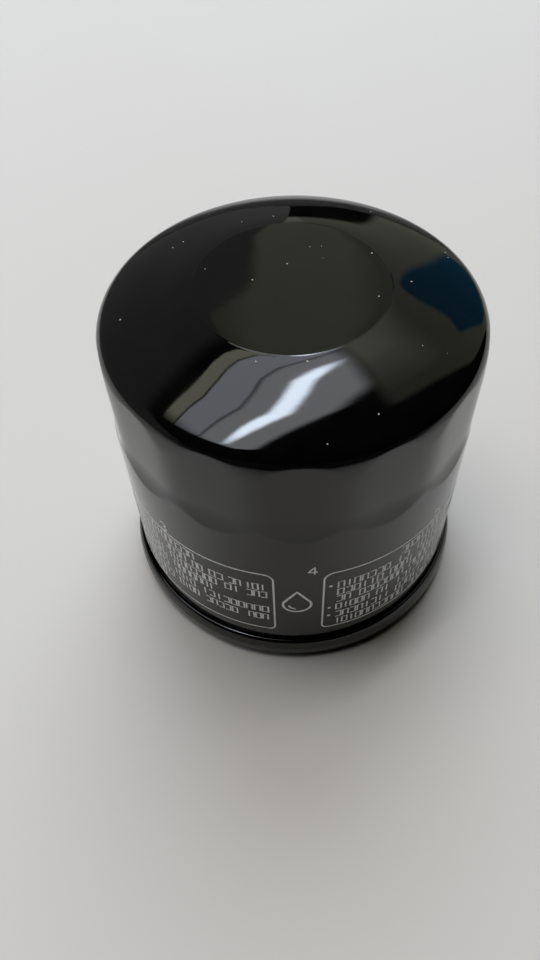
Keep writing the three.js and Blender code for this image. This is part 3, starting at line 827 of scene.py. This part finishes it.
def black_enamel():
    """Glossy stove enamel: nearly black, faint waves in the gloss, dust specks on what faces up."""
    f = Finish("black_enamel", Roughness=0.03, IOR=1.5)
    haze = f.noise(180, 4)
    black = f.blend(f.spread(haze, 0, 1), (0.0012, 0.0012, 0.0013), (0.0026, 0.0026, 0.0025))
    distance, chance = f.cells(520), f.cells(520, "Color")
    speck = f.maths("LESS_THAN", distance, 0.075)
    rare = f.maths("GREATER_THAN", f.red(chance), 0.76)
    up = f.node("SeparateXYZ", Vector=f.node("NewGeometry").outputs["Normal"]).outputs["Z"]
    dust = f.maths("MULTIPLY", f.maths("MULTIPLY", speck, rare), f.maths("GREATER_THAN", up, 0.9))
    f.set("Base Color", f.blend(dust, black, (0.45, 0.45, 0.42)))
    f.set("Roughness", f.maths("ADD", f.spread(haze, 0.02, 0.05), f.maths("MULTIPLY", dust, 0.5)))
    f.bump(f.noise(230, 4), 0.000005)
    return f.material


def print_ink():
    """Light grey screen ink, a little thin in places."""
    f = Finish("print_ink", Roughness=0.35)
    thin = f.spread(f.noise(1500, 3), 0, 1)
    f.set("Base Color", f.blend(thin, (0.78, 0.78, 0.76), (0.88, 0.88, 0.86)))
    f.set("Roughness", f.spread(f.noise(4000, 2), 0.3, 0.45))
    f.bump(f.noise(6000, 2), 0.000004)
    return f.material


def rubber(name, dark, light, bloom):
    """Moulded rubber: fine matte grain with a faint bloom."""
    f = Finish(name, Roughness=0.6)
    f.set("Base Color", f.blend(f.spread(f.noise(350, 5, 0.6), 0, 1), dark, light))
    f.set("Roughness", f.spread(f.noise(900, 4), 0.5, bloom))
    f.bump(f.noise(9000, 3), 0.00001)
    return f.material


def plated(name, dark, light, rough, grain):
    """Plated steel sheet: brushed streaks round the piece, cloudy passivation and small stains."""
    f = Finish(name, Metallic=1.0, Roughness=0.3)
    streaks = f.noise(1, 3, at=f.stretched(grain, grain, grain * 12))
    cloud = f.noise(140, 4, 0.6)
    f.set("Base Color", f.blend(f.spread(cloud, 0, 1), dark, light))
    worn = f.spread(streaks, rough - 0.06, rough + 0.08)
    f.set("Roughness", f.maths("ADD", worn, f.spread(cloud, 0, 0.08)))
    f.bump(streaks, 0.000006)
    return f.material


def tinned_steel():
    """Tin plate with a soft spangle of crystals."""
    f = Finish("tinned_steel", Metallic=1.0, Roughness=0.3)
    crystal = f.red(f.cells(300, "Color"))
    f.set("Base Color", f.blend(f.spread(crystal, 0, 1, 0, 1), (0.58, 0.58, 0.56), (0.72, 0.72, 0.69)))
    f.set("Roughness", f.spread(crystal, 0.2, 0.36, 0, 1))
    f.bump(f.noise(2500, 3), 0.000004)
    return f.material


def spring_steel():
    """Oil-tempered wire: dark steel with drawn streaks and brown tints."""
    f = Finish("spring_steel", Metallic=1.0, Roughness=0.3)
    tint = f.spread(f.noise(260, 4), 0, 1)
    f.set("Base Color", f.blend(tint, (0.3, 0.29, 0.28), (0.46, 0.45, 0.43)))
    f.set("Roughness", f.spread(f.noise(1, 2, at=f.stretched(3000, 3000, 12000)), 0.22, 0.4))
    f.bump(f.noise(1, 2, at=f.stretched(3000, 3000, 12000)), 0.000004)
    return f.material


def potting_compound():
    """Cast plastisol with small bubbles."""
    f = Finish("plastisol", Roughness=0.4)
    f.set("Base Color", f.blend(f.spread(f.noise(300, 4), 0, 1), (0.13, 0.17, 0.09), (0.22, 0.26, 0.15)))
    f.set("Roughness", f.spread(f.noise(500, 3), 0.3, 0.55))
    f.bump(f.cells(1400), 0.00004)
    return f.material


def filter_paper():
    """Resin-cured cellulose: cloudy warm fibres with a fine felted relief."""
    f = Finish("filter_paper", Roughness=0.9)
    fibre = f.noise(1, 5, 0.65, at=f.stretched(2600, 2600, 900))
    cloud = f.spread(f.noise(220, 4), 0, 1)
    f.set("Base Color", f.blend(f.maths("MULTIPLY", cloud, fibre), (0.66, 0.47, 0.2), (0.46, 0.29, 0.1)))
    f.set("Roughness", f.spread(fibre, 0.82, 0.96))
    f.bump(fibre, 0.00005)
    return f.material


def floor_laminate():
    """A plain pale table top."""
    f = Finish("pale_floor", Roughness=0.7, Specular_IOR_Level=0.12)
    f.set("Base Color", f.blend(f.spread(f.noise(4, 3), 0, 1), (0.67, 0.66, 0.645), (0.69, 0.683, 0.672)))
    f.set("Roughness", f.spread(f.noise(60, 3), 0.65, 0.75))
    return f.material


# ------------------------------------------------------------------ room
CEILING_TURN = math.radians(-CAMERA_AZIMUTH)
CEILING_SKEW = math.radians(38)     # the panels lie askew over the filter

# What the enamel mirrors. A place on the ceiling is in ceiling heights: u to the right and v ahead
# of the point overhead, or along and across the skewed rows of panels.
PANEL_ENDS = (-0.44, 0.46)
PANEL_ROWS = (
    (0.0, 0.272, 0.02, (2.5, 2.6, 2.7)), (0.284, 0.458, 0.008, (2.3, 2.4, 2.65)),
    (0.470, 0.566, 0.008, (1.7, 1.65, 1.35)),
)
TUBE_ENDS, TUBE_ACROSS, TUBE_HALF = (-0.31, 0.37), 0.137, 0.031
TUBE_COLOUR = (15, 17, 20)
WALL_EDGE = -0.075                  # u of the edge between the dark room and the lit wall ahead
WALL_BULGE = 0.095                  # how far that edge bulges to the left nearer overhead
WALL_COLOUR, WALL_PATCH, WALL_GLOW = (0.27, 0.275, 0.22), (0.15, 0.155, 0.12), (0.7, 0.7, 0.62)
BOARD_COLOUR = (0.012, 0.10, 0.19)
SIDE_COLOUR = (0.15, 0.15, 0.148)
DIFFUSE_SHARE = (1.05, 0.945, 0.82)     # how much of each colour lights what isn't mirrored
BACKDROP_LOW, BACKDROP_HIGH = (0.36, 0.355, 0.345), (0.72, 0.71, 0.69)


class Room(Nodes):
    """Masks and lights over the directions that a ray leaves the room in."""

    def step(self, value, edge, soft):
        """0 below the edge, 1 above it, smooth over soft to both sides."""
        made = self.node("MapRange", {"interpolation_type": "SMOOTHSTEP"}, Value=value,
                         From_Min=edge - soft, From_Max=edge + soft)
        return made.outputs["Result"]

    def band(self, value, low, high, soft):
        return self.maths("SUBTRACT", self.step(value, low, soft), self.step(value, high, soft))

    def without(self, mask):
        return self.maths("SUBTRACT", 1, mask)

    def both(self, first, *others):
        for other in others:
            first = self.maths("MULTIPLY", first, other)
        return first

    def lit(self, colour, *masks):
        made = self.node("VectorMath", {"operation": "SCALE"}, Scale=self.both(*masks))
        made.inputs[0].default_value = colour
        return made.outputs["Vector"]

    def vectors(self, operation, first, second):
        made = self.node("VectorMath", {"operation": operation})
        self.tree.links.new(first, made.inputs[0])
        if isinstance(second, tuple):
            made.inputs[1].default_value = second
        else:
            self.tree.links.new(second, made.inputs[1])
        return made.outputs["Vector"]


def room_light():
    """Soft light from overhead. The enamel mirrors a ceiling of pale panels beside a tube, a wall
    ahead with a blue board on it, and darkness elsewhere; the camera sees a plain pale backdrop."""
    world = bpy.data.worlds.new("studio")
    bpy.context.scene.world = world
    world.use_nodes = True
    f = Room(world.node_tree)
    way = f.node("TexCoord").outputs["Generated"]
    way = f.node("Mapping", Vector=way, Rotation=(0, 0, CEILING_TURN)).outputs["Vector"]
    parts = f.node("SeparateXYZ", Vector=way).outputs
    height = parts["Z"]
    up = f.maths("MAXIMUM", height, 0.02)
    u, v = f.maths("DIVIDE", parts["X"], up), f.maths("DIVIDE", parts["Y"], up)
    skew = (math.cos(CEILING_SKEW), math.sin(CEILING_SKEW))
    along = f.maths("ADD", f.maths("MULTIPLY", u, skew[0]), f.maths("MULTIPLY", v, skew[1]))
    across = f.maths("SUBTRACT", f.maths("MULTIPLY", v, skew[0]), f.maths("MULTIPLY", u, skew[1]))
    bearing = f.maths("DIVIDE", u, v)

    over = f.step(height, 0.0, 0.02)
    panels = f.band(along, *PANEL_ENDS, 0.07)
    tube_width = f.maths("MULTIPLY", f.band(along, *TUBE_ENDS, 0.25), TUBE_HALF)
    off_tube = f.maths("ABSOLUTE", f.maths("SUBTRACT", across, TUBE_ACROSS))
    tube = f.step(f.maths("SUBTRACT", tube_width, off_tube), 0.0, 0.016)

    bulge = f.maths("MULTIPLY", f.without(f.step(v, 1.16, 0.08)), WALL_BULGE)
    right = f.step(f.maths("ADD", u, bulge), WALL_EDGE, 0.014)
    past_panels = f.maths("MAXIMUM", f.step(across, 0.59, 0.02), f.step(along, 0.5, 0.06))
    doorway = f.both(f.band(height, -0.3, 0.12, 0.02), f.band(bearing, -0.06, 0.22, 0.02))
    ahead = f.both(right, f.step(across, -0.15, 0.03), past_panels, f.without(doorway))
    board = f.both(f.band(bearing, 0.49, 1.05, 0.03), f.band(height, 0.1, 0.53, 0.015), f.step(v, 0.1, 0.05))
    wall = f.both(ahead, f.without(board))
    glow = f.both(f.without(f.step(along, 0.85, 0.35)), f.band(across, 0.04, 0.6, 0.1))

    room = [f.lit(colour, f.band(across, low, high, soft), panels, over)
            for low, high, soft, colour in PANEL_ROWS]
    room += [
        f.lit(TUBE_COLOUR, tube, f.band(along, *TUBE_ENDS, 0.12)),
        f.lit(WALL_COLOUR, wall, over),
        f.lit(WALL_PATCH, wall, f.band(u, -0.1, 0.15, 0.05), f.step(v, 0.6, 0.2), over),
        f.lit(WALL_GLOW, wall, glow, over),
        f.lit(BOARD_COLOUR, ahead, board, over),
        f.lit(SIDE_COLOUR, f.step(across, 0.72, 0.1), f.without(right), over),
    ]
    mirrored = room[0]
    for light in room[1:]:
        mirrored = f.vectors("ADD", mirrored, light)
    diffuse = f.vectors("MULTIPLY", mirrored, DIFFUSE_SHARE)
    backdrop = f.blend(f.spread(height, 0, 1, 0.0, 0.35), BACKDROP_LOW, BACKDROP_HIGH)
    path = f.node("LightPath").outputs
    light = f.blend(path["Is Glossy Ray"], diffuse, mirrored)
    seen = f.blend(path["Is Camera Ray"], light, backdrop)
    f.tree.links.new(seen, f.tree.nodes["Background"].inputs["Color"])


def soft_light(name, size, power, azimuth, elevation, distance, colour):
    """A soft studio panel aimed at the filter from a distance in metres; the enamel doesn't mirror it."""
    data = bpy.data.lights.new(name, "AREA")
    data.shape = "DISK"
    data.size = size
    data.energy = power
    data.color = colour
    lamp = bpy.data.objects.new(name, data)
    a, e = math.radians(azimuth), math.radians(elevation)
    way = Vector((math.sin(a) * math.cos(e), -math.cos(a) * math.cos(e), math.sin(e)))
    lamp.location = way * distance
    lamp.rotation_mode = "QUATERNION"
    lamp.rotation_quaternion = way.to_track_quat("Z", "Y")
    lamp.visible_glossy = False
    lamp.visible_camera = False
    bpy.context.scene.collection.objects.link(lamp)


def floor():
    half = 8000
    corners = [(-half, -half, 0), (half, -half, 0), (half, half, 0), (-half, half, 0)]
    made = mesh_object("floor", corners, [[0, 1, 2, 3]])
    made.location.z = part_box("sealing_gasket")[0].z - 0.00002
    made.data.materials.append(floor_laminate())


def reflection_card(name, y, height, tone):
    """A dark card for a painted reflection, fading out towards its ends and foot: the enamel mirrors
    it in place of the far table, and the camera, diffuse light and shadows don't see it."""
    half = 400
    corners = [(-half, y, 0), (half, y, 0), (half, y, height), (-half, y, height)]
    made = mesh_object(name, corners, [[0, 1, 2, 3]])
    f = Finish(name + "_painted_reflection", Roughness=0.9)
    # painted reflection: the card's dark mottled tone is seen only in the enamel
    card_mottle = f.spread(f.noise(300, 4), 0, 1)
    f.set("Base Color", f.blend(card_mottle, (tone, tone, tone), (tone * 1.2, tone * 1.2, tone * 1.2)))
    parts = f.node("SeparateXYZ", Vector=f.place).outputs
    ends = f.spread(f.maths("ABSOLUTE", parts["X"]), 1, 0, 0.08, 0.38)
    f.set("Alpha", f.maths("MULTIPLY", f.spread(parts["Z"], 0, 1, 0.0, 0.035), ends))
    made.data.materials.append(f.material)
    made.visible_camera = False
    made.visible_diffuse = False
    made.visible_shadow = False


def camera():
    a, e = math.radians(CAMERA_AZIMUTH), math.radians(CAMERA_ELEVATION)
    away = Vector((math.sin(a) * math.cos(e), -math.cos(a) * math.cos(e), math.sin(e)))
    right = Vector((math.cos(a), math.sin(a), 0))
    up = right.cross(-away)
    pan = Matrix.Rotation(math.radians(CAMERA_PAN), 3, up)
    right, ahead = pan @ right, pan @ -away
    tilt = Matrix.Rotation(math.radians(CAMERA_TILT), 3, right)
    ahead, up = tilt @ ahead, tilt @ up
    roll = Matrix.Rotation(math.radians(CAMERA_ROLL), 3, -ahead)
    right, up = roll @ right, roll @ up
    data = bpy.data.cameras.new("camera")
    data.sensor_width = 36
    data.lens = CAMERA_LENS
    data.clip_start = 0.005
    made = bpy.data.objects.new("camera", data)
    place = Matrix((right, up, -ahead)).transposed().to_4x4()
    place.translation = Vector((0, 0, 0.025)) + away * CAMERA_DISTANCE
    made.matrix_world = place
    bpy.context.scene.collection.objects.link(made)
    bpy.context.scene.camera = made


# ------------------------------------------------------------------ assembly
def fit(piece, material, slot, body, *nodes):
    """Gives a piece its finish, puts it on its body and hides the CAD nodes it stands for; slot is not used.
    """
    piece.data.materials.clear()
    piece.data.materials.append(material)
    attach(piece, body)
    if nodes:
        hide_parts(*nodes)
    return piece


camera()
room_light()
soft_light("key", size=0.6, power=0.6, azimuth=-102, elevation=42, distance=0.6, colour=(0.97, 1.0, 1.04))
soft_light("back", size=1.2, power=10, azimuth=178, elevation=42, distance=1.25, colour=(0.92, 1.0, 1.12))
floor()
# painted reflections: dark cards that only the enamel mirrors, darkening its reflection of the table
reflection_card("front_reflection_card", y=-86, height=70, tone=0.02)
reflection_card("back_reflection_card", y=330, height=70, tone=0.2)
bpy.context.scene.view_settings.view_transform = "Standard"

enamel = black_enamel()
ink = print_ink()
nitrile = rubber("nitrile", (0.012, 0.012, 0.013), (0.024, 0.024, 0.025), 0.75)
silicone = rubber("silicone", (0.36, 0.1, 0.04), (0.47, 0.15, 0.07), 0.7)
compound = rubber("lining_compound", (0.2, 0.18, 0.15), (0.3, 0.27, 0.23), 0.7)
zinc = plated("zinc_plate", (0.52, 0.53, 0.52), (0.66, 0.67, 0.65), 0.26, 900)
tin = tinned_steel()
spring_wire = spring_steel()
plastisol = potting_compound()
paper = filter_paper()

fit(canister(), enamel, "black_enamel", "filter", "canister_shell")
fit(seaming_lid(), enamel, "black_enamel", "filter", "seaming_lid")
fit(seam_sealant(), compound, "sealant", "filter", "seam_sealant")
fit(sealing_gasket(), nitrile, "gasket_rubber", "filter", "sealing_gasket")
fit(thread_plate(), zinc, "zinc_plate", "filter", "thread_plate")
fit(drainback_valve(), silicone, "valve_rubber", "drainback_lip", "drainback_valve")
fit(element_grommet(), nitrile, "gasket_rubber", "filter", "element_grommet")
fit(end_cap("lower_cap", "lower_end_cap", 13.3, 1), tin, "tinned_steel", "filter", "lower_end_cap")
fit(end_cap("upper_cap", "upper_end_cap", 7.8, -1), tin, "tinned_steel", "filter", "upper_end_cap")
fit(potting("lower_bond", "lower_potting"), plastisol, "potting", "filter", "lower_potting")
fit(potting("upper_bond", "upper_potting"), plastisol, "potting", "filter", "upper_potting")
fit(centre_tube(), tin, "tinned_steel", "filter", "centre_tube")
fit(pleated_paper(), paper, "filter_paper", "filter", "pleated_paper")
fit(pleat_clip(), tin, "tinned_steel", "filter", "pleat_clip")
fit(bypass_seat(), zinc, "zinc_plate", "filter", "bypass_seat")
fit(bypass_cage(), zinc, "zinc_plate", "filter", "bypass_cage")
fit(bypass_seal(), nitrile, "gasket_rubber", "bypass_disc", "bypass_seal")
fit(bypass_poppet(), zinc, "zinc_plate", "bypass_disc", "bypass_poppet")
fit(spring_seat(), zinc, "zinc_plate", "filter", "spring_seat")
cone_spring = wound("element_spring", "cone_spring", wire=1.6, turns=3.5, low_r=14.4, high_r=10, closed=0.6)
fit(cone_spring, spring_wire, "spring_steel", "filter", "element_spring")

valve_spring = wound("bypass_spring", "valve_spring", wire=1, turns=5, low_r=5.2, high_r=5.2, closed=0.5)
fit(valve_spring, spring_wire, "spring_steel", "filter", "bypass_spring")
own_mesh(valve_spring)

for number, azimuth in enumerate(PANEL_AZIMUTHS):
    fit(print_panel(number, azimuth), ink, "print_ink", "filter")
fit(turn_marks(), ink, "print_ink", "filter")
fit(oil_drop(), ink, "print_ink", "filter")

bpy.context.view_layer.update()
